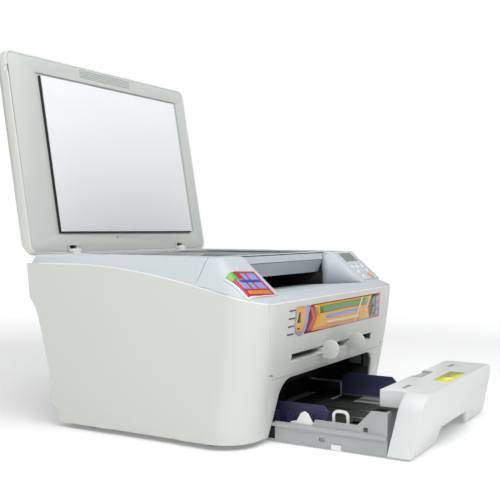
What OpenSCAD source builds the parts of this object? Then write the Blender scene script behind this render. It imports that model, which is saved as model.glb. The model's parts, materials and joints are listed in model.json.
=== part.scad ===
/* [Body] */
// Width across the two side covers
body_w = 409; // [380:1:450]
// Depth from the front datum plane to the top rear edge
body_d = 322; // [310:1:380]
// Height of the scanner's top surface
platen_z = 209; // [205:1:230]
// Height of the front lip of the paper output tray
lip_z = 160; // [156:1:170]
// Height of the rubber feet
foot_h = 6; // [4:0.5:10]
// Wall of the plastic covers
skin_t = 2.6; // [2:0.1:4]
// Radius of the two rounded front corners
corner_r = 42; // [30:1:50]
// Gap between neighbouring covers
seam = 0.4; // [0.3:0.1:0.8]

/* [Paper path] */
// Half width of the recessed output tray
tray_half = 125; // [118:1:128]
// Height of the underside of the scanner above the tray
throat_z = 180; // [178:0.5:184]
// Half width of the cassette opening at its top
bay_half = 136.5; // [132:0.5:140]
// Height of the top of the cassette opening
bay_z = 71; // [70:0.5:76]
// Width of the manual feed slot
slot_w = 236; // [222:1:250]
// Height of the manual feed slot
slot_h = 9; // [7:0.5:12]

/* [Lid] */
// Width of the lid
lid_w = 392.5; // [370:0.5:400]
// Length of the lid from the hinge edge to the free edge
lid_l = 266.9; // [240:0.5:280]
// Thickness of the closed lid
lid_t = 22.5; // [18:0.5:30]
// Angle of the lid at its open stop
lid_open = 100; // [85:1:105]
// Size of the white pad along the width
pad_w = 300; // [290:1:310]
// Size of the white pad along the depth
pad_d = 211; // [200:1:220]

/* [Cassette] */
// Distance that the cassette is pulled out
pull = 168; // [140:1:180]
// Outside half width of the cassette's side walls
tub_half = 136; // [130:1:138]
// Wall of the cassette
tub_t = 2.5; // [2:0.1:3.5]
// Spacing of the paper side guides, inside faces
paper_w = 211; // [209:1:217]
// Height of the cassette's front block
block_h = 65; // [60:1:67]

/* [Rollers] */
// Radius of the photo drum
drum_r = 15; // [12:0.5:16]
// Radius of the fuser rollers
fuser_r = 12; // [10:0.5:13]
// Radius of the roller shafts
shaft_r = 4; // [3:0.5:5]
// Radial running clearance of shafts in their bearings
run_gap = 0.05; // [0.02:0.01:0.1]
// Gear module
gear_m = 1.5; // [1.25:0.05:1.6]

/* [Hidden] */
$fn = 48;
eps = 0.01;
big = 600;
half_w = body_w / 2;

// The front face leans back as it goes down, along a shallow parabola.
front_top = -14.5;
front_lean = 0.112;
front_curve = 0.000363;
function front_y(z) = front_top + front_lean * (lip_z - z) + front_curve * pow(lip_z - z, 2);

// The side covers' top edge sweeps up from the front lip as a quarter sine wave.
lip_rise = platen_z - 10 - lip_z;
sweep_start = -12;
sweep_len = 260;
function edge_z(y) = lip_z + lip_rise * sin(90 * max(0, min(1, (y - sweep_start) / sweep_len)));

// The whole part is shifted so that its rest pose is centred on the origin.
lid_under = platen_z + 0.6;
hinge_y = body_d + 0.1;
hinge_z = platen_z + 1.5;
lid_back = hinge_y + 1.9;
block_proud = 1;
function block_y(z) = front_y(z) + block_proud;
lid_top = lid_under + lid_t;
rear_reach = hinge_y + (lid_l - 1.9) * sin(lid_open - 90) + (lid_top - hinge_z) * sin(lid_open);
front_reach = block_y(block_h + 3) - pull;
home_y = -(rear_reach + front_reach) / 2;
module home() { translate([0, home_y, 0]) children(); }

// Places of the main pieces, front to back.
seam_y = 71;
seam_top_half = 180;
seam_slope = 0.2;
door_z = bay_z + 3.5;
frame_x = 154;
frame_t = 4;
frame_top = 150;
ramp_y = 8;
ramp_z = lip_z + 6.5;
ramp_run = 49;
ramp_rise = platen_z - ramp_z;
ramp_a = atan2(ramp_rise, ramp_run);
floor_back_y = 240;
floor_drop = 14.5;
floor_t = 2.5;

// Drive train: every gear meshes with the large idler, at angles that suit its teeth.
idler_teeth = 60;
drum_teeth = 24;
heat_teeth = 20;
pinion_teeth = 12;
function pitch_r(n) = gear_m * n / 2;
drum_angle = 198;
heat_angle = -6;
pinion_angle = -60;
idler_y = 172;
idler_z = 118;
function mesh_y(n, a) = idler_y + (pitch_r(idler_teeth) + pitch_r(n)) * cos(a);
function mesh_z(n, a) = idler_z + (pitch_r(idler_teeth) + pitch_r(n)) * sin(a);
drum_y = mesh_y(drum_teeth, drum_angle);
drum_z = mesh_z(drum_teeth, drum_angle);
heat_y = mesh_y(heat_teeth, heat_angle);
heat_z = mesh_z(heat_teeth, heat_angle);
pinion_y = mesh_y(pinion_teeth, pinion_angle);
pinion_z = mesh_z(pinion_teeth, pinion_angle);
nip = 0.4;
transfer_r = 7.5;
transfer_z = drum_z - drum_r - transfer_r - nip;
press_z = heat_z - 2 * fuser_r - nip;
pickup_y = 73;
pickup_r = 15;
pickup_z = bay_z - 4;
exit_y = 256;
exit_z = throat_z - 15;
exit_r = 8;
gear_x = frame_x + frame_t + 4;
gear_t = 10;

// ---------- shared shapes ----------

// The outer form of the machine's lower body, shrunk by an inset and made longer at its open ends.
// It is a stack of outlines with two rounded front corners, each level as far back as the front leans.
form_levels = [38, 77, 118, lip_z + 0.5];
form_back = body_d + 60;
form_over = 5;
trim_over = 1;
corner_steps = 12;
function form_ring(inset, over, z) =
    let (r = corner_r - inset, yc = front_y(min(z, lip_z)) + corner_r, c = half_w - corner_r)
    concat([for (i = [0 : corner_steps]) let (a = 180 + 90 * i / corner_steps)
            [-c + r * cos(a), yc + r * sin(a), z]],
        [for (i = [0 : corner_steps]) let (a = 270 + 90 * i / corner_steps)
            [c + r * cos(a), yc + r * sin(a), z]],
        [[c + r, form_back + over, z], [-c - r, form_back + over, z]]);

module body_form(inset, over) {
    levels = concat([-over], form_levels, [platen_z + over]);
    n = 2 * (corner_steps + 1) + 2;
    last = len(levels) - 1;
    points = [for (z = levels) each form_ring(inset, over, z)];
    sides = [for (k = [0 : last - 1]) for (i = [0 : n - 1]) let (m = (i + 1) % n)
        [k * n + i, (k + 1) * n + i, (k + 1) * n + m, k * n + m]];
    polyhedron(points, concat([[for (i = [0 : n - 1]) i]],
        [[for (i = [n - 1 : -1 : 0]) last * n + i]], sides));
}

module body_shell(t) {
    difference() {
        body_form(0, 0);
        body_form(t, form_over);
    }
}

// Outline of the body seen from the side, as points [y, z].
back_points = [[body_d, platen_z - 10.5], [body_d - 4, lip_z - 3.5], [body_d - 15, lip_z - 17],
    [body_d - 24, 116], [body_d - 38, 64], [body_d - 41, 25.5], [body_d - 48, 25],
    [body_d - 54, foot_h]];
edge_steps = 16;
edge_points = [for (i = [0 : edge_steps])
    let (y = -20 + (body_d + 20) * i / edge_steps) [y, edge_z(y)]];

module side_outline() {
    polygon(concat(edge_points, back_points, [[-20, foot_h]]));
}

// Draws a [y, z] outline and pulls it along X.
module along_x(x0, x1) {
    translate([x0, 0, 0]) rotate([90, 0, 90]) linear_extrude(x1 - x0) children();
}

module rounded_slab(w, d, h, r) {
    hull() for (x = [-1, 1]) for (y = [-1, 1])
        translate([x * (w / 2 - r), y * (d / 2 - r), 0]) cylinder(r = r, h = h, $fn = 32);
}

// The trapezoid between the two slanting front seams, in the XZ plane.
module seam_region(z0, z1, gap) {
    function hx(z) = seam_top_half - seam_slope * (lip_z - z) - gap;
    translate([0, seam_y, 0]) rotate([90, 0, 0]) linear_extrude(2 * seam_y)
        polygon([[-hx(z0), z0], [hx(z0), z0], [hx(z1), z1], [-hx(z1), z1]]);
}

module rod(x0, x1, y, z, r) {
    translate([x0, y, z]) rotate([0, 90, 0]) cylinder(r = r, h = x1 - x0);
}

// Spur gear with straight-flanked teeth; tooth 0 points along +X before phase turns it.
module gear(n, h, bore, phase) {
    p = 360 / n;
    ro = pitch_r(n) + 0.85 * gear_m;
    ri = pitch_r(n) - 1.2 * gear_m;
    pts = [for (i = [0 : n - 1]) for (c = [[ri, -0.25], [ro, -0.1], [ro, 0.1], [ri, 0.25]])
        [c[0] * cos(phase + (i + c[1]) * p), c[0] * sin(phase + (i + c[1]) * p)]];
    difference() {
        linear_extrude(h) polygon(pts);
        translate([0, 0, -1]) cylinder(r = bore, h = h + 2);
    }
}

// Turns a gear from the XY plane to the YZ plane, its face towards +X.
module on_shaft(x, y, z) { translate([x, y, z]) rotate([90, 0, 90]) children(); }

// ---------- frame ----------

bores = [[drum_y, drum_z, shaft_r], [drum_y, transfer_z, shaft_r], [heat_y, heat_z, shaft_r],
    [heat_y, press_z, shaft_r], [pickup_y, pickup_z, shaft_r]];

module side_frame(s) {
    x0 = s > 0 ? frame_x : -frame_x - frame_t;
    foot_w = half_w - skin_t - 2 - frame_x;
    difference() {
        union() {
            along_x(x0, x0 + frame_t)
                polygon([[22, foot_h], [body_d - 58, foot_h], [body_d - 46, 60],
                    [body_d - 42, frame_top], [54, frame_top], [22, 96]]);
            translate([s > 0 ? frame_x : -frame_x - foot_w, 56, foot_h])
                cube([foot_w, body_d - 126, 3]);
            translate([s > 0 ? 143 : -frame_x - 1, 26, 24.5]) cube([frame_x + 1 - 143, 210, 3]);
            translate([x0, exit_y - 10, frame_top - 1]) cube([frame_t, 20, exit_z + 9 - frame_top]);
        }
        for (b = bores) rod(x0 - 1, x0 + frame_t + 1, b[0], b[1], b[2] + run_gap);
        rod(x0 - 1, x0 + frame_t + 1, exit_y, exit_z, 3 + run_gap);
    }
}

module left_frame() { home() color("#8d9296") side_frame(-1); }

module right_frame() {
    home() color("#8d9296") {
        side_frame(1);
        rod(frame_x + frame_t, gear_x + gear_t + 2, idler_y, idler_z, shaft_r);
    }
}

module rear_frame() {
    x = frame_x - seam;
    home() color("#8d9296") {
        translate([-x, body_d - 54, 52]) cube([2 * x, 3, 12]);
        translate([-x, body_d - 50, 138]) cube([2 * x, 3, 12]);
        for (s = [-1, 1]) translate([s * (x - 5) - 5, body_d - 53, 52]) cube([10, 6, 98]);
    }
}

// Two paper guide plates, either side of the transfer shaft, that are also the cassette bay's roof.
module feed_plate() {
    x = frame_x - seam;
    home() color("#3a3d40") difference() {
        translate([-x, 24, bay_z + 3]) cube([2 * x, 186, 2.5]);
        translate([-32, pickup_y - pickup_r - 3, bay_z]) cube([64, 2 * pickup_r + 6, 8]);
        translate([-116, drum_y - transfer_r - 3, bay_z]) cube([232, 2 * transfer_r + 6, 8]);
        translate([-x - 1, drum_y - shaft_r - 2, bay_z]) cube([2 * x + 2, 2 * shaft_r + 4, 8]);
        translate([-x - 1, pickup_y - 6, bay_z]) cube([24, 12, 8]);
        translate([x - 23, pickup_y - 6, bay_z]) cube([24, 12, 8]);
    }
}

// ---------- outer covers ----------

module side_cover(s) {
    difference() {
        intersection() {
            body_shell(skin_t);
            along_x(-half_w - 1, half_w + 1) side_outline();
            translate([s > 0 ? 40 : -big - 40, -big / 2, 0]) cube([big, big * 2, big]);
        }
        seam_region(-1, platen_z + 1, -seam / 2);
        // Hand hold pressed into the lower edge.
        translate([s * half_w - 1.2, 96, foot_h - 1]) cube([2.4, 92, 6]);
    }
}

module left_cover() { home() color("#dfe1dd") side_cover(-1); }

module right_cover() { home() color("#dfe1dd") side_cover(1); }

// Cassette opening in the XZ plane; it widens towards the floor.
bay_flare = 6.5;
bay_r = 24;
module bay_outline(gap, z0) {
    h = bay_z - gap;
    top = bay_half - gap;
    foot = bay_half + bay_flare - gap;
    polygon(concat([[-foot, z0], [foot, z0]],
        [for (a = [0 : 9 : 90]) [top - bay_r + bay_r * cos(a), h - bay_r + bay_r * sin(a)]],
        [for (a = [90 : 9 : 180]) [-top + bay_r + bay_r * cos(a), h - bay_r + bay_r * sin(a)]]));
}

// The front cover turns on two short pins in lugs at the bezel's upper corners.
front_t = 3;
door_pin_y = front_y(door_z) + 1.6;
door_pin_z = door_z + 2.7;
door_pin_r = 0.9;
lug_x = 158;
lug_h = 4.3;
lug_clear = 1.6;

module door_lugs(gap, over) {
    for (s = [-1, 1]) translate([s > 0 ? lug_x - gap : -big, -60, door_z - 1])
        cube([big - lug_x + gap, 200, lug_h + 1 + over]);
}

module front_bezel() {
    home() color("#dfe1dd") difference() {
        intersection() {
            body_shell(front_t);
            seam_region(foot_h, door_z + lug_h, seam / 2);
            union() {
                translate([-big / 2, -60, 0]) cube([big, 200, door_z - seam - 0.1]);
                door_lugs(0, 0);
            }
        }
        translate([0, 60, 0]) rotate([90, 0, 0]) linear_extrude(120) bay_outline(0, -1);
        rod(-half_w, half_w, door_pin_y, door_pin_z, door_pin_r + run_gap);
    }
}

// ---------- front cover, with the manual feed slot ----------

slot_z = 93.5;
module front_cover() {
    home() color("#dfe1dd") {
        difference() {
            intersection() {
                body_shell(front_t);
                seam_region(door_z, lip_z, seam / 2);
            }
            door_lugs(seam, lug_clear);
            translate([-slot_w / 2, -40, slot_z - slot_h / 2]) cube([slot_w, 60, slot_h]);
        }
        for (z = [slot_z - slot_h / 2 - 2, slot_z + slot_h / 2])
            translate([-slot_w / 2, front_y(z) + 2.6, z]) cube([slot_w, 16, 2]);
        for (s = [-1, 1]) rod(s * (lug_x - 1) - 4, s * (lug_x - 1) + 4, door_pin_y, door_pin_z,
            door_pin_r);
    }
}

// Ear-shaped grip on a flat foot that runs in the manual feed slot.
fin_x = 40;
fin_t = 3.2;
fin_gap = 1.1;
fin_foot_gap = 0.5;
module manual_guide(s) {
    fy = front_y(slot_z + 14) - 0.6;
    along_x(s * fin_x - fin_t / 2, s * fin_x + fin_t / 2) {
        difference() {
            union() {
                translate([fy - 10, slot_z + 1.5]) circle(r = 11.5);
                polygon([[fy - 19, slot_z - 5], [fy, slot_z - 10], [fy, slot_z + 8], [fy - 10, slot_z +
                    10]]);
            }
            translate([fy, slot_z - 30]) square([30, 60]);
        }
        translate([fy - 3, slot_z - slot_h / 2 + fin_gap]) square([24, slot_h - 2 * fin_gap]);
    }
    translate([s > 0 ? fin_x - fin_t / 2 : -fin_x - 14 + fin_t / 2, fy + 1,
        slot_z - slot_h / 2 + fin_foot_gap]) cube([14, 22, 2.4]);
}

module left_manual_guide() { home() color("#e4e5e1") manual_guide(-1); }

module right_manual_guide() { home() color("#e4e5e1") manual_guide(1); }

// ---------- rear ----------

duct_half = 126;
duct_z = 50;
door_half = 118;
door_low = 66;
door_high = 146;
module rear_band() {
    along_x(-half_w + skin_t + 1.4, half_w - skin_t - 1.4) difference() {
        polygon(back_band(0));
        polygon(back_band(skin_t));
    }
}
function back_band(t) = concat([[0, platen_z - 10.5], [0, foot_h]],
    [for (i = [len(back_points) - 1 : -1 : 0]) [back_points[i][0] - t, back_points[i][1]]]);

rear_pin_z = door_low + 4.2;
rear_pin_y = body_d - 38 + (rear_pin_z - 64) * 14 / 52 - 1.5;
rear_pin_r = 0.9;
inlet_x = 178;
usb_x = 166;

module rear_cover() {
    home() color("#d7d9d5") difference() {
        union() {
            rear_band();
            for (s = [-1, 1]) rod(s * (door_half + 3) - 3, s * (door_half + 3) + 3, rear_pin_y,
                rear_pin_z, 2.6);
        }
        rod(-door_half - 8, door_half + 8, rear_pin_y, rear_pin_z, rear_pin_r + run_gap);
        translate([-duct_half, body_d - 70, 0]) cube([2 * duct_half, 100, duct_z]);
        translate([-door_half, body_d - 70, door_low]) cube([2 * door_half, 100, door_high - door_low]);
        translate([inlet_x - 14.4, body_d - 70, 33.6]) cube([28.8, 70, 20.8]);
        translate([-usb_x - 6.4, body_d - 70, 80.6]) cube([12.8, 70, 11.8]);
        for (i = [0 : 7]) translate([-188 + i * 7, body_d - 30, 120]) cube([3, 40, 22]);
    }
}

// Inner face of the rear band at height z, between the band's two bends.
function door_in(z) = body_d - skin_t + 0.3 - (z < 116 ? 24 + (116 - z) * 14 / 52
    : 15 + (lip_z - 17 - z) * 9 / (lip_z - 17 - 116));

module rear_door() {
    home() color("#d7d9d5") {
        intersection() {
            rear_band();
            translate([-door_half + seam, body_d - 70, door_low + seam])
                cube([2 * (door_half - seam), 100, door_high - door_low - 2 * seam]);
        }
        for (s = [-1, 1]) rod(s * door_half - 5, s * door_half + 5, rear_pin_y, rear_pin_z, rear_pin_r);
        for (i = [-3 : 3]) along_x(i * 30 - 1, i * 30 + 1)
            polygon([[door_in(80), 80], [door_in(116), 116], [door_in(138), 138], [door_in(138) - 5, 138],
                [door_in(116) - 5, 116], [door_in(80) - 5, 80]]);
    }
}

// ---------- output tray and front top ----------

function floor_z(y) = ramp_z - floor_drop * (y - ramp_y) / (floor_back_y - ramp_y);

// Front corner of the top: a ramp beside the tray, a flat top behind it and a slope down to the
// side cover's edge. The crease between them runs out to the front corner.
module wing_form(s, inset) {
    inner = tray_half + inset;
    reach = 178 - inset;
    yb = seam_y - seam - inset;
    base = ramp_z - 8;
    top = [[ramp_y + inset, ramp_z - inset], [ramp_y + ramp_run, platen_z - inset],
        [yb, platen_z - inset], [yb, base], [ramp_y + inset, base]];
    flat = [[ramp_y + ramp_run, platen_z - inset], [yb, platen_z - inset], [yb, base],
        [ramp_y + ramp_run, base]];
    low_y = [ramp_y + inset, 24, 40, 55, yb];
    rim = [for (y = low_y) [y, edge_z(y) - 0.8 - inset]];
    edge = half_w - skin_t - 0.8 - inset;
    hull() {
        along_x(s > 0 ? inner : -inner - 1, s > 0 ? inner + 1 : -inner) polygon(top);
        along_x(s > 0 ? reach - 1 : -reach, s > 0 ? reach : 1 - reach) polygon(flat);
        along_x(s > 0 ? edge - 1 : -edge, s > 0 ? edge : 1 - edge)
            polygon(concat(rim, [[yb, base], [ramp_y + inset, base]]));
    }
}

panel_x = 161;
panel_w = 58;
module on_ramp() { translate([0, ramp_y, ramp_z]) rotate([ramp_a, 0, 0]) children(); }
ramp_len = sqrt(ramp_run * ramp_run + ramp_rise * ramp_rise);

module top_cover() {
    home() color("#d3d8dc") difference() {
        union() {
            intersection() {
                body_form(front_t + seam, trim_over);
                union() {
                    along_x(-half_w, half_w) polygon([[front_y(lip_z), lip_z - 3],
                        [front_y(lip_z) + 3, lip_z + 0.6], [ramp_y - 10, ramp_z - 1.6],
                        [ramp_y, ramp_z], [ramp_y, ramp_z - floor_t], [ramp_y - 10, ramp_z - 5],
                        [front_y(lip_z) + 5, lip_z - 6]]);
                    difference() {
                        union() {
                            wing_form(-1, 0);
                            wing_form(1, 0);
                        }
                        translate([0, 0, -4]) wing_form(-1, 2.4);
                        translate([0, 0, -4]) wing_form(1, 2.4);
                    }
                }
            }
            along_x(-tray_half - 1, tray_half + 1)
                polygon([[ramp_y - 1, ramp_z], [floor_back_y, floor_z(floor_back_y)],
                    [floor_back_y, floor_z(floor_back_y) - floor_t], [ramp_y - 1, ramp_z - floor_t]]);
            for (s = [-1, 1]) translate([s * (tray_half + 1.25) - 1.25, ramp_y, 0])
                along_x(0, 2.5) polygon([[0, ramp_z - 10], [0, ramp_z - 0.5],
                    [seam_y - ramp_y - seam, platen_z - 12], [seam_y - ramp_y - seam, throat_z - seam],
                    [floor_back_y - ramp_y, throat_z - seam], [floor_back_y - ramp_y,
                        floor_z(floor_back_y) - 2]]);
        }
        on_ramp() translate([panel_x - panel_w / 2 - seam, 4 - seam, -1.6])
            cube([panel_w + 2 * seam, ramp_len - 6 + 2 * seam, 8]);
        on_ramp() translate([panel_x - panel_w / 2 + 1.5, 5, -8]) cube([panel_w - 3, ramp_len - 9, 8]);
    }
}

// Button list: name, place across, place up the slope, radius.
buttons = [["menu_button", 138, 31, 3.2], ["scroll_left_button", 154, 31, 3.2],
    ["scroll_right_button", 170, 31, 3.2], ["copies_button", 140, 20, 3.2],
    ["contrast_button", 172, 21, 3.2], ["start_button", 143, 10.5, 3.6],
    ["stop_button", 169, 10.5, 4.6]];
button_gap = 0.4;
display_x = 157;
display_w = 42;
display_s = 42;
display_l = 17;

module control_panel() {
    home() color("#dde1e4") on_ramp() difference() {
        translate([panel_x - panel_w / 2, 4, -1.5]) cube([panel_w, ramp_len - 6, 2.3]);
        for (b = buttons) translate([b[1], b[2], -3]) cylinder(r = b[3] + button_gap, h = 6);
        translate([display_x - display_w / 2 - 0.2, display_s - 0.2, -0.9])
            cube([display_w + 0.4, display_l + 0.4, 4]);
    }
}

module display() {
    home() color("#7d8478") on_ramp()
        translate([display_x - display_w / 2, display_s, -0.9]) cube([display_w, display_l, 1.3]);
}

module button(i) {
    b = buttons[i];
    c = i == 6 ? "#f0a060" : "#e9ecee";
    home() color(c) on_ramp() translate([b[1], b[2], -2.2]) {
        cylinder(r = b[3], h = 4);
        translate([0, 0, -1]) cylinder(r = 2, h = 2);
    }
}

module menu_button() { button(0); }
module scroll_left_button() { button(1); }
module scroll_right_button() { button(2); }
module copies_button() { button(3); }
module contrast_button() { button(4); }
module start_button() { button(5); }
module stop_button() { button(6); }

// ---------- flatbed scanner ----------

scan_back = body_d - 5;
glass_x0 = -pad_w / 2 + 9.1;
glass_y0 = lid_back - 28.8 - pad_d - 3;
tub_wall = 2.2;

// The scanner frame's slopes run in this far from the side covers at the front.
slope_run = 26.5;
module scanner_form(inset, y0, y1) {
    ys = [0, 0.2, 0.4, 0.6, 1];
    zb = throat_z - 1;
    hull() for (k = ys) {
        y = y0 + (y1 - y0) * k;
        lo = edge_z(y) - 0.8;
        top_half = half_w - slope_run + 16 * k - inset;
        translate([0, y, 0]) rotate([90, 0, 0]) linear_extrude(eps)
            polygon([[-half_w + skin_t + 0.8 + inset, zb], [half_w - skin_t - 0.8 - inset, zb],
                [half_w - skin_t - 0.8 - inset, lo], [top_half, platen_z - inset],
                [-top_half, platen_z - inset], [-half_w + skin_t + 0.8 + inset, lo]]);
    }
}

module platen_frame() {
    home() color("#d3d8dc") difference() {
        scanner_form(0, seam_y, scan_back);
        translate([0, 0, -eps]) scanner_form(2.5, seam_y + 2.5, scan_back - 2.5);
        translate([-big / 2, 0, 0]) cube([big, big, throat_z + 1]);
        // The strip over the tray stops above the darker lower wall.
        translate([-tray_half, seam_y - 5, 0]) cube([2 * tray_half, 12, throat_z + 18]);
        translate([glass_x0, glass_y0, platen_z - 10]) cube([pad_w + 5, pad_d + 5, 20]);
        for (x = hinge_xs) translate([x - 14, scan_back - 11, throat_z + 9]) cube([28, 20, 40]);
    }
}

module scanner_tub() {
    x = half_w - 32;
    y0 = seam_y + 9;
    y1 = scan_back - 3;
    z0 = throat_z;
    z1 = platen_z - 6.4;
    lip_x = tray_half - seam;
    home() color("#a9b0b5") {
        difference() {
            translate([-x, y0, z0]) cube([2 * x, y1 - y0, z1 - z0]);
            translate([-x + tub_wall, y0 + tub_wall, z0 + 2.5])
                cube([2 * (x - tub_wall), y1 - y0 - 2 * tub_wall, 60]);
            for (h = hinge_xs) translate([h - 12, y1 - 3, z0 + 9]) cube([24, 10, 30]);
        }
        along_x(-lip_x, lip_x) polygon([[y0 + eps, z0], [y0 + eps, z0 + 17.4], [seam_y + 1, z0 + 17.4],
            [seam_y + 1, z0 + 15.4]]);
    }
}

module platen_glass() {
    home() color("#bcd0cf", 0.5)
        translate([glass_x0 - 5, glass_y0 - 3, platen_z - 5.7]) cube([pad_w + 15, pad_d + 11, 3]);
}

rod_y = 190;
rod_z = throat_z + 8;
module scan_rod() {
    home() color("#b9bdc0") rod(-half_w + 32 + tub_wall, half_w - 32 - tub_wall, rod_y, rod_z, 3);
}

// The light bar spans the glass from front to back and rides on the rod.
bar_w = 18;
bar_x = -half_w + 32 + tub_wall + 1;
belt_y = scan_back - 14;
module scan_carriage() {
    home() color("#2f3336") difference() {
        union() {
            translate([bar_x, glass_y0 + 3, throat_z + 3.4]) cube([bar_w, pad_d - 1, 14]);
            translate([bar_x, rod_y - 8, throat_z + 3.1]) cube([bar_w, 16, 10]);
            translate([bar_x + 4, glass_y0 + pad_d, throat_z + 12])
                cube([8, belt_y - pulley_r - 2 - (glass_y0 + pad_d), 4]);
        }
        rod(bar_x - 1, bar_x + bar_w + 1, rod_y, rod_z, 3 + run_gap);
    }
}

pulley_r = 5;
pulley_x = half_w - 32 - 14;
module scan_pulley() {
    home() color("#e6e2d6") translate([pulley_x, belt_y, throat_z + 13]) difference() {
        cylinder(r = pulley_r, h = 5);
        translate([0, 0, -1]) cylinder(r = 1 + run_gap, h = 8);
    }
}

module scan_motor() {
    home() color("#6f7478") {
        translate([pulley_x, belt_y, throat_z + 2.5]) cylinder(r = 7, h = 9.5);
        translate([pulley_x, belt_y, throat_z + 2.5]) cylinder(r = 1, h = 16.5);
        translate([-pulley_x, belt_y, throat_z + 2.5]) cylinder(r = 4.6, h = 15.5);
    }
}

module scan_belt() {
    r0 = pulley_r + 0.3;
    home() color("#202224") translate([0, belt_y, throat_z + 14]) linear_extrude(3) difference() {
        union() {
            for (s = [-1, 1]) translate([s * pulley_x, 0]) circle(r = r0 + 1);
            translate([-pulley_x, -r0 - 1]) square([2 * pulley_x, 2 * r0 + 2]);
        }
        for (s = [-1, 1]) translate([s * pulley_x, 0]) circle(r = r0);
        translate([-pulley_x, -r0]) square([2 * pulley_x, 2 * r0]);
    }
}

// ---------- lid ----------

hinge_xs = [-118, 126];
eye_r = 4.5;
hinge_pin_r = 2.5;
arm_t = 4;
eye_w = 14;

module hinge_brackets() {
    home() color("#cfd2cf") for (x = hinge_xs) difference() {
        union() {
            translate([x - eye_w / 2, scan_back - 6, throat_z + 10]) cube([eye_w, 5.5, platen_z -
                throat_z - 12]);
            along_x(x - eye_w / 2, x + eye_w / 2) polygon([[scan_back - 6, platen_z - 6],
                [hinge_y + 2, platen_z - 2], [hinge_y + 2, hinge_z], [hinge_y - 4, hinge_z],
                [scan_back - 6, platen_z - 2]]);
            rod(x - eye_w / 2, x + eye_w / 2, hinge_y, hinge_z, eye_r);
        }
        rod(x - eye_w, x + eye_w, hinge_y, hinge_z, hinge_pin_r + run_gap);
    }
}

// Everything on the lid is drawn closed and then swung to the open stop.
module swung() {
    translate([0, hinge_y, hinge_z]) rotate([-lid_open, 0, 0]) translate([0, -hinge_y, -hinge_z])
        children();
}
lid_r = 12;
lid_mid = lid_back - lid_l / 2;
rim_t = 2.4;

module lid_cover() {
    home() color("#d9dbd8") swung() difference() {
        hull() {
            translate([0, lid_mid, lid_under]) rounded_slab(lid_w, lid_l, 11, lid_r);
            translate([0, lid_mid, lid_under]) rounded_slab(lid_w - 14, lid_l - 14, lid_t, lid_r);
        }
        hull() {
            translate([0, lid_mid, lid_under - 1]) rounded_slab(lid_w - 2 * rim_t, lid_l - 2 * rim_t,
                10.5, lid_r - rim_t);
            translate([0, lid_mid, lid_under - 1]) rounded_slab(lid_w - 20, lid_l - 20, lid_t - 1.6,
                lid_r - rim_t);
        }
        for (x = hinge_xs) translate([x - 13, hinge_y - 9, lid_under - 1]) cube([26, 20, 8.4]);
        // Thumb notch in the left edge, near the free end.
        translate([-lid_w / 2 - 1, lid_back - 246, lid_under - 1]) cube([3, 8, 5]);
    }
}

field_d = 2.6;
module lid_panel() {
    w = lid_w - 2 * rim_t - 2 * seam;
    l = lid_l - 2 * rim_t - 2 * seam;
    pad_mid_x = (glass_x0 + glass_x0 + pad_w + 5) / 2;
    pad_mid_y = glass_y0 + (pad_d + 5) / 2;
    home() color("#d4d6d3") swung() {
        difference() {
            translate([0, lid_mid, lid_under + 0.4]) rounded_slab(w, l, 5, lid_r - rim_t - seam);
            translate([pad_mid_x, pad_mid_y, lid_under - 1]) rounded_slab(pad_w + 18, pad_d + 8, 1 +
                field_d, 2);
            for (x = hinge_xs) translate([x - 12.5, hinge_y - 9, lid_under - 1]) cube([25, 20, 8]);
            for (i = [0 : 4]) translate([-58, lid_back - lid_l + 5 + i * 2.6, lid_under])
                cube([112, 1.2, 1.4]);
            translate([-25, lid_back - 21, lid_under]) cylinder(r = 1.6, h = 3);
        }
        for (x = hinge_xs) for (s = [-1, 1]) {
            x0 = s > 0 ? x + eye_w / 2 + 0.3 : x - eye_w / 2 - 0.3 - arm_t;
            rod(x0, x0 + arm_t, hinge_y, hinge_z, eye_r);
            translate([x0, hinge_y - 10, lid_under + 2.4]) cube([arm_t, 11, 4.8]);
            translate([x0, hinge_y - 9.6, lid_under + 0.5]) cube([arm_t, 8, 3]);
        }
        for (x = hinge_xs) rod(x - eye_w / 2 - 1, x + eye_w / 2 + 1, hinge_y, hinge_z, hinge_pin_r);
    }
}

pad_clear = 2.5;
// The black foam shows past the white sheet on the left and at the hinge.
foam_edge = 1.6;
module pad_foam() {
    home() color("#151515") swung()
        translate([glass_x0 + pad_clear - foam_edge, glass_y0 + pad_clear, lid_under - 0.6])
            cube([pad_w + foam_edge, pad_d + foam_edge, field_d + 0.6]);
}

module white_pad() {
    home() color("#f2f4f4") swung()
        translate([glass_x0 + pad_clear, glass_y0 + pad_clear, lid_under - 2.2])
            cube([pad_w, pad_d, 1.6]);
}

// ---------- print engine ----------

module roller(y, z, r, half, x_end) {
    rod(-frame_x - frame_t - 2, x_end, y, z, shaft_r);
    rod(-half, half, y, z, r);
}

module photo_drum() {
    home() color("#3f6f62") {
        roller(drum_y, drum_z, drum_r, 128, gear_x + gear_t);
        on_shaft(gear_x, drum_y, drum_z) gear(drum_teeth, gear_t, shaft_r - 1, drum_angle + 180 + 180 /
            drum_teeth);
    }
}

module transfer_roller() { home() color("#2a2a2a") roller(drum_y, transfer_z, transfer_r, 110, frame_x
    + frame_t + 2); }

module heat_roller() {
    home() color("#8a5a3c") {
        roller(heat_y, heat_z, fuser_r, 118, gear_x + gear_t);
        on_shaft(gear_x, heat_y, heat_z) gear(heat_teeth, gear_t, shaft_r - 1, heat_angle + 180 + 180 /
            heat_teeth);
    }
}

module pressure_roller() { home() color("#5b5b58") roller(heat_y, press_z, fuser_r, 118, frame_x +
    frame_t + 2); }

module pickup_roller() { home() color("#3b3b3b") roller(pickup_y, pickup_z, pickup_r, 25, frame_x +
    frame_t + 2); }

module exit_roller() {
    home() color("#3b3b3b") {
        rod(-frame_x - frame_t - 2, frame_x + frame_t + 2, exit_y, exit_z, 3);
        for (x = [-75, -25, 25, 75]) rod(x - 9, x + 9, exit_y, exit_z, exit_r);
    }
}

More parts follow.
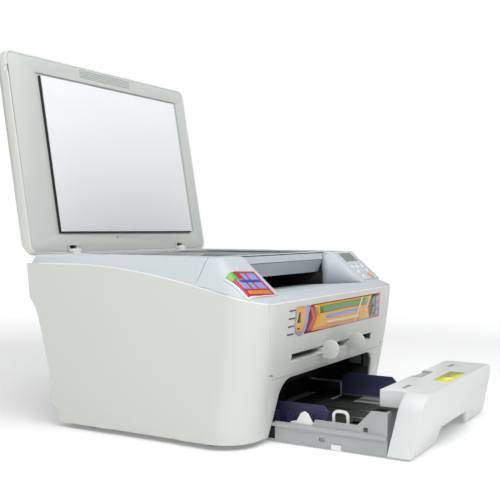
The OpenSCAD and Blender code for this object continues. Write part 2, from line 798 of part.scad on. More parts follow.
module drive_gear() {
    home() color("#e8e4d8") on_shaft(gear_x, idler_y, idler_z) gear(idler_teeth, gear_t, shaft_r +
        run_gap, 0);
}

motor_shaft_r = 2;
module motor_pinion() {
    home() color("#c9b35a") on_shaft(gear_x, pinion_y, pinion_z)
        gear(pinion_teeth, gear_t, motor_shaft_r + run_gap, pinion_angle + 180 + 180 / pinion_teeth);
}

module drive_motor() {
    home() color("#7b8084") {
        rod(gear_x + gear_t + 3, gear_x + gear_t + 24, pinion_y, pinion_z, 20);
        rod(gear_x - 2, gear_x + gear_t + 4, pinion_y, pinion_z, motor_shaft_r);
    }
}

module toner_cartridge() {
    x = 140;
    home() color("#2b2e31") difference() {
        along_x(-x, x) polygon([[58, 92], [84, 88], [drum_y - drum_r - 2, drum_z - 4],
            [drum_y - drum_r - 1.5, drum_z + 8], [drum_y - 8, drum_z + drum_r + 2],
            [drum_y + 14, drum_z + drum_r + 2], [drum_y + 14, 146], [66, 146], [58, 138]]);
        rod(-x - 1, x + 1, drum_y, drum_z, drum_r + 1);
        along_x(-x + 3, x - 3) polygon([[61, 96], [82, 94], [88, 122], [drum_y + 8, 124],
            [drum_y + 8, 143], [68, 143], [61, 136]]);
    }
}

module laser_unit() {
    home() color("#33373a") difference() {
        translate([-104, 134, 124]) cube([208, 76, 24]);
        translate([-101, 137, 127]) cube([202, 70, 18]);
        translate([-105, 130, 132]) cube([210, 8, 6]);
    }
}

module fuser_housing() {
    y0 = heat_y - fuser_r - 4;
    y1 = heat_y + fuser_r + 4;
    home() color("#2f3133") difference() {
        along_x(-130, 130) polygon([[y0, press_z + 14], [y0, heat_z + 16], [y0 + 4, heat_z + 20],
            [y1 - 4, heat_z + 20], [y1, heat_z + 16], [y1, press_z + 14]]);
        along_x(-127, 127) polygon([[y0 + 2, press_z + 13], [y0 + 2, heat_z + 15],
            [y0 + 5, heat_z + 18], [y1 - 5, heat_z + 18], [y1 - 2, heat_z + 15], [y1 - 2, press_z + 13]]);
        rod(-140, 140, heat_y, heat_z, shaft_r + 1);
    }
}

module main_board() {
    home() color("#2f6b45") {
        translate([-usb_x - 6, 110, 40]) cube([1.6, body_d - 160, 90]);
        for (y = [130, 170, 210]) translate([-usb_x - 12, y, 60]) cube([6, 24, 24]);
        difference() {
            translate([-usb_x - 6, body_d - 56, 81]) cube([12, 24.5, 11]);
            translate([-usb_x - 4, body_d - 44, 83]) cube([8, 20, 7]);
        }
    }
}

supply_l = 130;
module power_supply() {
    home() color("#9a8a55") {
        translate([gear_x + 16, 40, 12]) cube([1.6, supply_l, 70]);
        translate([gear_x + 17.6, 56, 20]) cube([14, 40, 30]);
        translate([gear_x + 17.6, 108, 20]) cube([12, 24, 40]);
    }
}

module power_inlet() {
    x = inlet_x;
    home() color("#1d1f21") difference() {
        translate([x - 14, body_d - 62, 34]) cube([28, 21.6, 20]);
        translate([x - 12, body_d - 58, 36]) cube([24, 30, 16]);
    }
}

foot_r = 9;
module rubber_feet() {
    home() color("#26282a") for (s = [-1, 1]) for (y = [60, body_d - 90])
        translate([s * (frame_x + 24), y, 0]) cylinder(r = foot_r, h = foot_h);
}

// Screw heads on the rear cover: height, distance back and lean of the face there.
screws = [[72, body_d - 38 + (72 - 64) * 14 / 52, atan(14 / 52)],
    [130, body_d - 24 + (130 - 116) * 9 / 27, atan(9 / 27)]];
module cover_screws() {
    home() color("#a8abad") for (s = [-1, 1]) for (k = screws)
        translate([s * 140, k[1], k[0]]) rotate([-90 - k[2], 0, 0]) difference() {
            translate([0, 0, 0.06]) cylinder(r = 3, h = 1.6);
            for (a = [0, 90]) rotate([0, 0, a]) translate([-2, -0.4, 0.9]) cube([4, 0.8, 2]);
        }
}

// ---------- cassette ----------

module pulled() { translate([0, -pull, 0]) children(); }
tub_floor = 1.5;
block_back = 56;
tub_back = body_d - 60;
low_wall = 24;
wall_front = 40;
rail_w = 3;
high_wall = 31;

module tub_wall_outline() {
    polygon([[wall_front, tub_floor], [tub_back, tub_floor], [tub_back, low_wall], [128, low_wall],
        [124, high_wall], [74, high_wall], [block_back + 2, 48], [wall_front, 48]]);
}

module cassette_tub() {
    home() pulled() color("#c3c8c9") {
        translate([-tub_half, block_back - 12, tub_floor]) cube([2 * tub_half, tub_back - block_back +
            12, tub_t]);
        for (s = [-1, 1]) difference() {
            union() {
                along_x(s > 0 ? tub_half - tub_t : -tub_half, s > 0 ? tub_half : -tub_half + tub_t)
                    tub_wall_outline();
                translate([s > 0 ? tub_half - eps : -tub_half - rail_w, wall_front, 19])
                    cube([rail_w + eps, tub_back - wall_front, 4]);
            }
            translate([s * tub_half - 3, 62, 24.5]) cube([6, 5, 5]);
            translate([s * tub_half - 3, 112, 8]) cube([6, 7, 4]);
        }
        translate([-tub_half + tub_t, block_back - 12, tub_floor]) cube([2 * (tub_half - tub_t), tub_t,
            44]);
    }
}

block_flare = 4;
block_r = 23;
finger_half = 48;
module block_outline(grow) {
    top = bay_half - 1.5 + grow;
    foot = top + block_flare;
    h = block_h + 3 + grow;
    polygon(concat([[-foot, 3], [foot, 3]],
        [for (a = [0 : 9 : 90]) [top - block_r + block_r * cos(a), h - block_r + block_r * sin(a)]],
        [for (a = [90 : 9 : 180]) [-top + block_r + block_r * cos(a), h - block_r + block_r * sin(a)]]));
}

module front_slab(t0, t1, z1) {
    steps = 8;
    pts = [for (i = [0 : steps]) let (z = 3 + (z1 - 3) * i / steps) [block_y(z) + t0, z]];
    back = [for (i = [steps : -1 : 0]) let (z = 3 + (z1 - 3) * i / steps) [block_y(z) + t1, z]];
    along_x(-big / 2, big / 2) polygon(concat(pts, back));
}

box_half = 116;
box_low = 50;
module cassette_front() {
    top = block_h + 3;
    home() pulled() color("#eef0ef") difference() {
        union() {
            difference() {
                intersection() {
                    front_slab(0, 26, top);
                    translate([0, 120, 0]) rotate([90, 0, 0]) linear_extrude(240) block_outline(0);
                }
                intersection() {
                    front_slab(3.5, 27, top);
                    translate([0, 120, -eps]) rotate([90, 0, 0]) linear_extrude(240) block_outline(-3);
                }
            }
            difference() {
                translate([-box_half, 6, box_low]) cube([2 * box_half, block_back - 6, top - box_low]);
                translate([-box_half + 2.5, 4, box_low - 1])
                    cube([2 * box_half - 5, block_back - 6.5, top - box_low - 1.5]);
            }
        }
        translate([0, 60, 0]) rotate([90, 0, 0]) linear_extrude(120)
            polygon([[-finger_half - 12, 2], [finger_half + 12, 2], [finger_half, 19], [-finger_half,
                19]]);
        translate([-24, block_back - 14, top - 7]) cube([48, 20, 12]);
    }
}

module separation_pad() {
    top = block_h + 3;
    home() pulled() color("#8f9494") {
        translate([-23.5, block_back - 13.5, top - 6.6]) cube([47, 12, 4]);
        for (x = [-23.5, 17.5]) translate([x, block_back - 13.5, top - 3]) cube([6, 12, 3.6]);
        translate([-15, block_back - 11, top - 2.7]) cube([30, 9, 2]);
    }
}

plate_y0 = 62;
plate_y1 = 205;
plate_z = 9;
module lift_plate() {
    home() pulled() color("#5e6b66") difference() {
        union() {
            translate([-104, plate_y0, plate_z]) cube([208, 56, 1.2]);
            translate([-70, plate_y0, plate_z]) cube([140, plate_y1 - plate_y0, 1.2]);
            for (x = [-60, -20, 20, 60]) translate([x - 2, plate_y0 + 8, plate_z + 1]) cube([4, 120, 1]);
            rod(-70, 70, plate_y1, plate_z, 1.5);
        }
        for (s = [-1, 1]) translate([s * 40 - 7, plate_y0 + 20, plate_z - 1]) cube([14, 40, 4]);
    }
}

guide_y0 = 124;
guide_y1 = 200;
module paper_guide(s) {
    x0 = s > 0 ? paper_w / 2 : -paper_w / 2 - 3;
    along_x(x0, x0 + 3) polygon([[guide_y0 + 6, 12.2], [guide_y1, 12.2], [guide_y1, 38], [guide_y1 - 8,
        41],
        [guide_y0 + 3, 41], [guide_y0 - 4, 34], [guide_y0 - 2, 28]]);
    translate([s > 0 ? x0 : x0 - 9, guide_y0 + 10, 12.2]) cube([12, 56, 2]);
    for (k = [0 : 3]) translate([s > 0 ? x0 + 2 : x0 - 7, guide_y0 + 14 + k * 15, 13]) cube([8, 2, 18]);
}

module left_paper_guide() { home() pulled() color("#3b3f63") paper_guide(-1); }

module right_paper_guide() { home() pulled() color("#3b3f63") paper_guide(1); }

ext_half = 122;
module cassette_extension() {
    y0 = 208;
    y1 = tub_back - 1;
    z0 = tub_floor + tub_t + 0.4;
    home() pulled() color("#b4babb") difference() {
        union() {
            translate([-ext_half, y0, z0]) cube([2 * ext_half, y1 - y0, 2]);
            for (s = [-1, 1]) translate([s > 0 ? ext_half - 2.5 : -ext_half, y0, z0]) cube([2.5, y1 -
                y0, 20]);
            translate([-ext_half, y1 - 2.5, z0]) cube([2 * ext_half, 2.5, 26]);
            translate([-22, y1 - 16, z0]) cube([44, 14, 30]);
        }
        translate([-19, y1 - 13, z0 + 2]) cube([38, 12, 40]);
    }
}

// Outline of an upright loop with two rounded corners.
loop_y = 97;
function arch(half, high, r, over) = concat([[-half, -over]],
    [for (a = [180 : -15 : 90]) [-half + r + r * cos(a), high - r + r * sin(a)]],
    [for (a = [90 : -15 : 0]) [half - r + r * cos(a), high - r + r * sin(a)]], [[half, -over]]);

module cassette_clips() {
    x = -tub_half + tub_t + 0.4;
    home() pulled() color("#f4f5f3") {
        // Loop over the wall, a catch on the wall's low part and a small tab at the floor.
        along_x(x + 5, x + 7.5) translate([loop_y, tub_floor + tub_t]) difference() {
            polygon(arch(10, 39, 7, 0));
            polygon(arch(7, 36, 4, 1));
        }
        translate([x, 87, tub_floor + tub_t]) cube([10, 3, 3]);
        translate([x, 104, tub_floor + tub_t]) cube([10, 3, 3]);
        along_x(x, x + 3) polygon([[128, 12], [156, 12], [156, low_wall + 1], [148, low_wall + 3],
            [143, 36], [139, 38], [135, 36], [128, low_wall + 1]]);
        translate([-tub_half - 1.2, 92, tub_floor - 0.5]) cube([0.8, 12, 6]);
        translate([-tub_half - 1.2, 92, tub_floor - 0.5]) cube([6, 12, 0.5]);
    }
}

// ---------- what is drawn ----------

left_frame();
right_frame();
rear_frame();
feed_plate();
left_cover();
right_cover();
front_bezel();
rear_cover();
top_cover();
control_panel();
display();
scanner_tub();
platen_frame();
platen_glass();
scan_rod();
scan_belt();
scan_motor();
hinge_brackets();
toner_cartridge();
laser_unit();
fuser_housing();
main_board();
power_supply();
power_inlet();
drive_motor();
rubber_feet();
cover_screws();
front_cover();
left_manual_guide();
right_manual_guide();
rear_door();
menu_button();
scroll_left_button();
scroll_right_button();
copies_button();
contrast_button();
start_button();
stop_button();
scan_carriage();
scan_pulley();
lid_cover();
lid_panel();
pad_foam();
white_pad();
photo_drum();
transfer_roller();
heat_roller();
pressure_roller();
pickup_roller();
exit_roller();
drive_gear();
motor_pinion();
cassette_tub();
cassette_front();
separation_pad();
lift_plate();
left_paper_guide();
right_paper_guide();
cassette_extension();
cassette_clips();
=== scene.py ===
import json
import math
import bpy
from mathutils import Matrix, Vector


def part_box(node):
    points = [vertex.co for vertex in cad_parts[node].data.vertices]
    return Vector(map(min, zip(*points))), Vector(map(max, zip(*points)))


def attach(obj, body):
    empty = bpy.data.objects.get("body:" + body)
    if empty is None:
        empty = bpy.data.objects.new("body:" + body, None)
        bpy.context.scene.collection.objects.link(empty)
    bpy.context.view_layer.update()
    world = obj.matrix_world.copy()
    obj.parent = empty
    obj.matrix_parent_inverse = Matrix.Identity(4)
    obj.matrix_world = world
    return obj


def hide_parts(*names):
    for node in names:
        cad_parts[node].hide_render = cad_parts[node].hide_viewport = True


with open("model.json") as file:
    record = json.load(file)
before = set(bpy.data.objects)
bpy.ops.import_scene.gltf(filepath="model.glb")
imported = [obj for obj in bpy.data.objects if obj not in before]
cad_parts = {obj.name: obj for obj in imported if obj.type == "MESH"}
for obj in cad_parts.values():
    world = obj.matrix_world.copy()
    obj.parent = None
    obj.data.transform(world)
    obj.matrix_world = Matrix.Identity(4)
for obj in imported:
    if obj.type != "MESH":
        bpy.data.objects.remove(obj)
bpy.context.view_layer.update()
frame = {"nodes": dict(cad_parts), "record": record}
record = frame["record"]
nodes = frame["nodes"]

# Machine coordinates: millimetres, X right, Y back from the front datum, Z up.
# The feet give the shift between them and the shared frame.
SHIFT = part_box("rubber_feet")[0].y * 1000 - 51.0
HALF = 204.5
CORNER = 42.0
LIP = 160.0
TOP = 209.0
SEAM_Y = 71.0


def at(x, y, z):
    return Vector((x, y + SHIFT, z)) / 1000


def lerp(a, b, t):
    return a + (b - a) * t


def steps(a, b, n):
    return [lerp(a, b, i / n) for i in range(n + 1)]


def smooth_min(a, b, k):
    h = max(0.0, min(1.0, 0.5 + 0.5 * (b - a) / k))
    return lerp(b, a, h) - k * h * (1 - h)


def ease(t):
    t = max(0.0, min(1.0, t))
    return t * t * (3 - 2 * t)


def table_value(rows, z):
    for (z0, v0), (z1, v1) in zip(rows, rows[1:]):
        if z0 <= z <= z1:
            return lerp(v0, v1, (z - z0) / (z1 - z0))
    return rows[0][1] if z < rows[0][0] else rows[-1][1]


# ---------------------------------------------------------------- shape rules


def front_y(z):
    d = LIP - min(z, LIP)
    return -14.5 + 0.112 * d + 0.000363 * d * d


def lip_height(y):
    t = max(0.0, min(1.0, (y + 12) / 260))
    return LIP + 39 * math.sin(math.pi / 2 * t)


def seam_x(z):
    return 180 - 0.2 * (LIP - z)


BACK = [(6, 268), (25, 274), (25.5, 281), (64, 284), (116, 298), (143, 307), (156.5, 318), (198.5, 322)]


def back_y(z):
    return table_value(BACK, z)


def front_surface(x, z, inset=0.0):
    """Y of the front face at height z, round the corner where x is far enough out."""
    flat = HALF - CORNER
    centre = front_y(z) + CORNER
    r = CORNER - inset
    a = abs(x) - flat
    if a <= 0:
        return centre - r
    return centre - math.sqrt(max(0.0, r * r - a * a))


# ---------------------------------------------------------------- materials


def group(name, sockets_in, sockets_out):
    g = bpy.data.node_groups.new(name, "ShaderNodeTree")
    for label, kind, value in sockets_in:
        s = g.interface.new_socket(label, in_out="INPUT", socket_type=kind)
        if value is not None:
            s.default_value = value
    for label, kind in sockets_out:
        g.interface.new_socket(label, in_out="OUTPUT", socket_type=kind)
    return g, g.nodes.new("NodeGroupInput"), g.nodes.new("NodeGroupOutput")


def grain_group():
    """Fine moulded grain: a height, and a mask for roughness."""
    g, i, o = group("moulded_grain", [("Scale", "NodeSocketFloat", 1500.0)],
                    [("Height", "NodeSocketFloat"), ("Mask", "NodeSocketFloat")])
    c = g.nodes.new("ShaderNodeTexCoord")
    n = g.nodes.new("ShaderNodeTexNoise")
    n.inputs["Detail"].default_value = 3
    v = g.nodes.new("ShaderNodeTexVoronoi")
    m = g.nodes.new("ShaderNodeMath")
    m.operation = "ADD"
    g.links.new(c.outputs["Object"], n.inputs["Vector"])
    g.links.new(c.outputs["Object"], v.inputs["Vector"])
    g.links.new(i.outputs["Scale"], n.inputs["Scale"])
    g.links.new(i.outputs["Scale"], v.inputs["Scale"])
    g.links.new(n.outputs["Fac"], m.inputs[0])
    g.links.new(v.outputs["Distance"], m.inputs[1])
    g.links.new(m.outputs[0], o.inputs["Height"])
    g.links.new(n.outputs["Fac"], o.inputs["Mask"])
    return g


def tone_group():
    """Slow drift of tone over a large moulding, towards a dull brown in random patches."""
    g, i, o = group("surface_tone", [("Base", "NodeSocketColor", (1, 1, 1, 1)),
                                     ("Drift", "NodeSocketFloat", 0.04)],
                    [("Color", "NodeSocketColor"), ("Mask", "NodeSocketFloat")])
    c = g.nodes.new("ShaderNodeTexCoord")
    n = g.nodes.new("ShaderNodeTexNoise")
    n.inputs["Scale"].default_value = 7
    n.inputs["Detail"].default_value = 4
    r = g.nodes.new("ShaderNodeMapRange")
    r.inputs["From Min"].default_value = 0.3
    r.inputs["From Max"].default_value = 0.7
    m = g.nodes.new("ShaderNodeMath")
    m.operation = "MULTIPLY"
    x = g.nodes.new("ShaderNodeMix")
    x.data_type = "RGBA"
    x.inputs["B"].default_value = (0.30, 0.29, 0.26, 1)
    g.links.new(c.outputs["Object"], n.inputs["Vector"])
    g.links.new(n.outputs["Fac"], r.inputs["Value"])
    g.links.new(r.outputs["Result"], m.inputs[0])
    g.links.new(i.outputs["Drift"], m.inputs[1])
    g.links.new(m.outputs[0], x.inputs["Factor"])
    g.links.new(i.outputs["Base"], x.inputs["A"])
    g.links.new(x.outputs["Result"], o.inputs["Color"])
    g.links.new(m.outputs[0], o.inputs["Mask"])
    return g


def edge_group():
    """Mask for a painted highlight, brighter on sharp, rounded edges."""
    g, i, o = group("edge_highlight_mask", [("Amount", "NodeSocketFloat", 0.3)], [("Mask", "NodeSocketFloat")])
    n = g.nodes.new("ShaderNodeNewGeometry")
    r = g.nodes.new("ShaderNodeMapRange")
    r.inputs["From Min"].default_value = 0.52
    r.inputs["From Max"].default_value = 0.62
    m = g.nodes.new("ShaderNodeMath")
    m.operation = "MULTIPLY"
    g.links.new(n.outputs["Pointiness"], r.inputs["Value"])
    g.links.new(r.outputs["Result"], m.inputs[0])
    g.links.new(i.outputs["Amount"], m.inputs[1])
    g.links.new(m.outputs[0], o.inputs["Mask"])
    return g


GRAIN = grain_group()
TONE = tone_group()
EDGE = edge_group()


def hex_linear(code):
    out = []
    for k in (0, 2, 4):
        c = int(code[k:k + 2], 16) / 255
        out.append(c / 12.92 if c <= 0.04045 else ((c + 0.055) / 1.055) ** 2.4)
    return tuple(out) + (1,)


def material(name, code, rough=0.45, metal=0.0, grain=1500, bump=0.06, drift=0.03, edge=0.15,
             coat=0.0, alpha=1.0, transmission=0.0, emission=0.0):
    m = bpy.data.materials.new(name)
    m.use_nodes = True
    t = m.node_tree
    b = t.nodes["Principled BSDF"]
    base = hex_linear(code)
    tone = t.nodes.new("ShaderNodeGroup")
    tone.node_tree = TONE
    tone.inputs["Base"].default_value = base
    tone.inputs["Drift"].default_value = drift
    # Painted highlight: the edge mask mixes the colour towards a brighter copy of the base colour.
    edge_light = t.nodes.new("ShaderNodeGroup")
    edge_light.node_tree = EDGE
    edge_light.inputs["Amount"].default_value = edge
    mix = t.nodes.new("ShaderNodeMix")
    mix.data_type = "RGBA"
    mix.inputs["B"].default_value = tuple(min(1.0, c * 1.25 + 0.03) for c in base[:3]) + (1,)
    t.links.new(edge_light.outputs["Mask"], mix.inputs["Factor"])
    t.links.new(tone.outputs["Color"], mix.inputs["A"])
    t.links.new(mix.outputs["Result"], b.inputs["Base Color"])
    grains = t.nodes.new("ShaderNodeGroup")
    grains.node_tree = GRAIN
    grains.inputs["Scale"].default_value = grain
    span = t.nodes.new("ShaderNodeMapRange")
    span.inputs["To Min"].default_value = max(0.02, rough - 0.05)
    span.inputs["To Max"].default_value = min(1.0, rough + 0.05)
    t.links.new(grains.outputs["Mask"], span.inputs["Value"])
    t.links.new(span.outputs["Result"], b.inputs["Roughness"])
    if bump:
        bmp = t.nodes.new("ShaderNodeBump")
        bmp.inputs["Strength"].default_value = bump
        bmp.inputs["Distance"].default_value = 0.0002
        t.links.new(grains.outputs["Height"], bmp.inputs["Height"])
        t.links.new(bmp.outputs["Normal"], b.inputs["Normal"])
    b.inputs["Metallic"].default_value = metal
    b.inputs["Coat Weight"].default_value = coat
    b.inputs["Alpha"].default_value = alpha
    b.inputs["Transmission Weight"].default_value = transmission
    b.inputs["IOR"].default_value = 1.46
    return m


MATS = {
    "frame_plastic": material("frame_plastic", "34373a", 0.6),
    "black_plastic": material("black_plastic", "17181a", 0.5, drift=0.1, edge=0.1),
    "shell_plastic": material("shell_plastic", "dddfda", 0.42, drift=0.02),
    "top_plastic": material("top_plastic", "cdd3d7", 0.42, drift=0.02),
    "display_glass": material("display_glass", "8d9286", 0.22, grain=300, bump=0, coat=0.5),
    "scanner_plastic": material("scanner_plastic", "a3abb0", 0.5, drift=0.03),
    "platen_glass": material("platen_glass", "dce8e6", 0.03, grain=40, bump=0, drift=0, edge=0, transmission=0.92),
    "steel": material("steel", "b4b8ba", 0.3, metal=1, grain=500, drift=0.08),
    "belt_rubber": material("belt_rubber", "1d1e20", 0.7),
    "hinge_plastic": material("hinge_plastic", "dcdeda", 0.45),
    "board": material("board", "2c6443", 0.4, coat=0.3, drift=0.08),
    "foot_rubber": material("foot_rubber", "242527", 0.75, drift=0.1),
    "guide_plastic": material("guide_plastic", "dfe1dc", 0.4, drift=0.03),
    "button_plastic": material("button_plastic", "eef1f4", 0.4),
    "orange_plastic": material("orange_plastic", "f2a367", 0.4),
    "gear_plastic": material("gear_plastic", "e8e3d4", 0.5),
    "lid_plastic": material("lid_plastic", "cbcecb", 0.45, drift=0.03),
    "foam": material("foam", "121314", 0.9, grain=900, bump=0.5, drift=0.1),
    "white_sheet": material("white_sheet", "eef1f2", 0.35, grain=300, bump=0.02, drift=0.03, edge=0),
    "drum_coating": material("drum_coating", "2e6f5e", 0.12, grain=200, bump=0, coat=0.6),
    "roller_rubber": material("roller_rubber", "2c2d2e", 0.7, drift=0.1),
    "heat_coating": material("heat_coating", "6b4630", 0.3),
    "brass": material("brass", "cdb25f", 0.3, metal=1),
    "cassette_plastic": material("cassette_plastic", "aeb2b3", 0.5, drift=0.04),
    "cassette_white": material("cassette_white", "e6e8e8", 0.38, drift=0.015),
    "pad_holder_plastic": material("pad_holder_plastic", "b9bdbd", 0.5),
    "lift_metal": material("lift_metal", "39463f", 0.4, metal=0.3, grain=700, drift=0.08),
    "navy_plastic": material("navy_plastic", "3a3e5f", 0.4, drift=0.05),
    "clip_plastic": material("clip_plastic", "f0f1ee", 0.4),
}


PRINT = {}


def print_ink(name, code, rough=0.3):
    """Glossy ink on a label."""
    PRINT[name] = material(name, code, rough, bump=0.02, drift=0.02, edge=0, coat=0.4).name


for ink, code in {"ink_white": "f4f4f6", "ink_red": "c4182f", "ink_wine": "8a1628", "ink_yellow": "e6a806",
    "ink_orange": "dd8a12",
                  "ink_green": "3f8f2a", "ink_leaf": "6cb838", "ink_lilac": "93a0e2", "ink_blue": "363ca0",
                  "ink_lemon": "e2ec10", "ink_black": "1c1c1e", "ink_grey": "a8adb0", "ink_cream": "e8dcae"}.items():
    print_ink(ink, code)
# Near-black for sheets of painted shade in the bay, the throat and the cassette's rear.
material("painted_shade_black", "0b0b0c", 0.8, bump=0, drift=0.02, edge=0)
# Darker grey for painted shade on the manual slot's roof and ends.
material("slot_shade", "4c504e", 0.6, bump=0, drift=0.02, edge=0)
# Brighter white for a painted highlight on the rim beads.
material("painted_highlight_white", "f4f6f5", 0.35, bump=0, drift=0.01, edge=0)


def paint(obj, slot):
    obj.data.materials.clear()
    obj.data.materials.append(MATS[slot])


# ---------------------------------------------------------------- mesh helpers


def piece(name, pts, faces, body, slot, stands_for=(), thick=0.0, bevel=0.0, side=-1, segments=2, angle=35):
    me = bpy.data.meshes.new(name)
    me.from_pydata([at(*p) for p in pts], [], faces)
    me.validate()
    me.update()
    o = bpy.data.objects.new(name, me)
    bpy.context.scene.collection.objects.link(o)
    if thick:
        s = o.modifiers.new("wall", "SOLIDIFY")
        s.thickness = thick / 1000
        s.offset = side
        s.use_even_offset = True
    if bevel:
        b = o.modifiers.new("round", "BEVEL")
        b.width = bevel / 1000
        b.segments = segments
        b.limit_method = "ANGLE"
        b.angle_limit = math.radians(angle)
        b.harden_normals = True
    for p in me.polygons:
        p.use_smooth = True
    o.data.materials.append(MATS[slot] if slot in MATS else bpy.data.materials[slot])
    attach(o, body)
    if stands_for:
        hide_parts(*stands_for)
    return o


def grid(rows, keep=None, flip=False):
    """Points and quads of a table of points; keep(i, j) says which quads stay."""
    pts = [p for row in rows for p in row]
    n = len(rows[0])
    faces = []
    for j in range(len(rows) - 1):
        for i in range(n - 1):
            if keep and not keep(i, j):
                continue
            f = [j * n + i, j * n + i + 1, (j + 1) * n + i + 1, (j + 1) * n + i]
            faces.append(f[::-1] if flip else f)
    return pts, faces


def finish_node(name, bevel=0.5, segments=2, dissolve=True):
    """Rounds the moulded edges of a CAD node and paints it with its record slot."""
    o = nodes[name]
    slot = next(s["material_slot"] for s in record["subparts"] if s["node"] == name)
    paint(o, slot)
    w = o.modifiers.new("weld", "WELD")
    w.merge_threshold = 0.00002
    if dissolve:
        d = o.modifiers.new("merge_flats", "DECIMATE")
        d.decimate_type = "DISSOLVE"
        d.angle_limit = math.radians(1.0)
    if bevel:
        b = o.modifiers.new("round", "BEVEL")
        b.width = bevel / 1000
        b.segments = segments
        b.limit_method = "ANGLE"
        b.angle_limit = math.radians(32)
        b.harden_normals = True
        b.use_clamp_overlap = True
    for p in o.data.polygons:
        p.use_smooth = True
    return o


# ---------------------------------------------------------------- side covers


def side_path(s, u, z):
    """Point of a side cover's outline at height z: u 0 at the rear, 1 at the front seam."""
    flat = HALF - CORNER
    yc = front_y(z) + CORNER
    limit = seam_x(z) - 0.2
    if limit > flat:
        turn = math.acos((limit - flat) / CORNER)
        rest = 0.0
    else:
        turn = math.pi / 2
        rest = flat - limit
    run = CORNER * turn + rest
    split = 0.5
    if u <= split:
        return s * HALF, lerp(back_y(z), yc, u / split)
    d = (u - split) / (1 - split) * run
    if d <= CORNER * turn:
        a = d / CORNER
        return s * (flat + CORNER * math.cos(a)), yc - CORNER * math.sin(a)
    return s * (flat - (d - CORNER * turn)), yc - CORNER


def side_cover(s, name, node):
    levels = [0, 0.02, 0.04, 0.05, 0.06, 0.09, 0.115, 0.125, 0.128, 0.132, 0.16] + steps(0.2, 0.97, 24) + [0.985, 1.0]
    us = steps(0, 0.5, 30)[:-1] + steps(0.5, 1, 30)
    rows = []
    for t in levels:
        row = []
        for u in us:
            z = 100.0
            for _ in range(12):
                x, y = side_path(s, u, z)
                z = 6 + (lip_height(y) - 6) * t
            x, y = side_path(s, u, z)
            hold = ease((y - 92) / 4) * ease((192 - y) / 4) * ease((14 - z) / 3)
            row.append((x - s * 1.5 * hold, y, z))
        rows.append(row)
    pts, faces = grid(rows, flip=s > 0)
    return piece(name, pts, faces, "machine", "shell_plastic", [node], thick=2.8, bevel=1.0, segments=3)


side_cover(-1, "side_cover_left", "left_cover")
side_cover(1, "side_cover_right", "right_cover")

# ---------------------------------------------------------------- front cover

SLOT_HALF = 118
SLOT_LOW, SLOT_HIGH = 89.0, 98.0
xs = steps(-1, -0.72, 14)[:-1] + steps(-0.72, 0.72, 36)[:-1] + steps(0.72, 1, 14)
zs = [74.25, 76, 80.4, 85, SLOT_LOW, 93.5, SLOT_HIGH, 102, 108] + steps(114, 154, 8) + [157, 158.6, 160]


def front_rows():
    rows = []
    for z in zs:
        hx = seam_x(z) - 0.2
        row = []
        for t in xs:
            x = t * hx
            if abs(abs(t) - 0.72) < 1e-6:
                x = math.copysign(SLOT_HALF, t)
            elif abs(t) < 0.72:
                x = t / 0.72 * SLOT_HALF
            else:
                x = math.copysign(lerp(SLOT_HALF, hx, (abs(t) - 0.72) / 0.28), t)
            row.append((x, front_surface(x, z), z))
        rows.append(row)
    return rows


LUG_TOP = 80.4
LUG_SHARE = 0.95


def front_keeps(i, j):
    if SLOT_LOW <= zs[j] < SLOT_HIGH and -0.73 < xs[i] < 0.71:
        return False
    middle = (xs[i] + xs[i + 1]) / 2
    return not (zs[j] < LUG_TOP - 0.1 and abs(middle) > LUG_SHARE)


pts, faces = grid(front_rows(), keep=front_keeps)
piece("front_cover_shell", pts, faces, "front_door", "shell_plastic", ["front_cover"], thick=2.8, bevel=0.45,
    segments=2)

# The manual feed slot: a pale floor that slopes up, and its roof, ends and rear in a darker grey as painted shade.
fy = front_surface(0, 93)
rows = [[(x, fy + d, z) for x in steps(-117.8, 117.8, 12)] for d, z in ((0.5, 89.3), (3.5, 90.2), (15, 93.2))]
pts, faces = grid(rows)
piece("manual_slot_floor", pts, faces, "front_door", "shell_plastic", thick=1.0)
rows = [[(x, fy + d, z) for x in steps(-117.8, 117.8, 12)] for d, z in ((1.2, 97.7), (9, 97.5), (14.6, 97.3), (15,
    97.0), (15, 93.4))]
pts, faces = grid(rows, flip=True)
piece("manual_slot_roof", pts, faces, "front_door", "slot_shade", thick=0.8)
for s in (-1, 1):
    rows = [[(s * 117.6, fy + d, z) for z in (low_z, 97.5)] for d, low_z in ((1.2, 89.8), (15, 93.4))]
    pts, faces = grid(rows, flip=s < 0)
    piece("manual_slot_end_%s" % ("left" if s < 0 else "right"), pts, faces, "front_door", "slot_shade", thick=0.6)

# ---------------------------------------------------------------- top surface

EDGE_IN = 3.4
FLAT = HALF - CORNER
Y_FLAT = -14.5 + CORNER
R_IN = CORNER - EDGE_IN
RAMP = math.tan(math.radians(40.9366))


def outer_x(y):
    if y >= Y_FLAT:
        return HALF - EDGE_IN
    return FLAT + math.sqrt(max(0.0, R_IN * R_IN - (Y_FLAT - y) ** 2))


def edge_distance(x, y):
    ax = abs(x)
    if ax > FLAT and y < Y_FLAT:
        return R_IN - math.hypot(ax - FLAT, y - Y_FLAT)
    if ax <= FLAT:
        return min(HALF - EDGE_IN - ax, y - (Y_FLAT - R_IN)) if y < Y_FLAT else HALF - EDGE_IN - ax
    return HALF - EDGE_IN - ax


STRIP = [(-11.1, 159.2), (-8, 161.6), (-2, 164.6), (3, 166.0), (8, 166.5)]


def strip_height(y):
    return table_value(STRIP, y)


def wing_height(x, y):
    ramp = strip_height(y) if y < 8 else 166.5 + (y - 8) * RAMP
    ax = abs(x)
    slope = 1.16 if y >= Y_FLAT or ax > FLAT else 0.9
    d = edge_distance(x, y)
    rim = lip_height(y) - 0.9 + d * slope
    k = lerp(14, 5, ease((y - 40) / 30))
    return smooth_min(smooth_min(ramp, TOP, 2.5), rim + k / 4 * ease((2 - d) / 2), k) if ax > 90 else ramp


def floor_height(y):
    return 166.5 - 14.5 * (y - 8) / 232


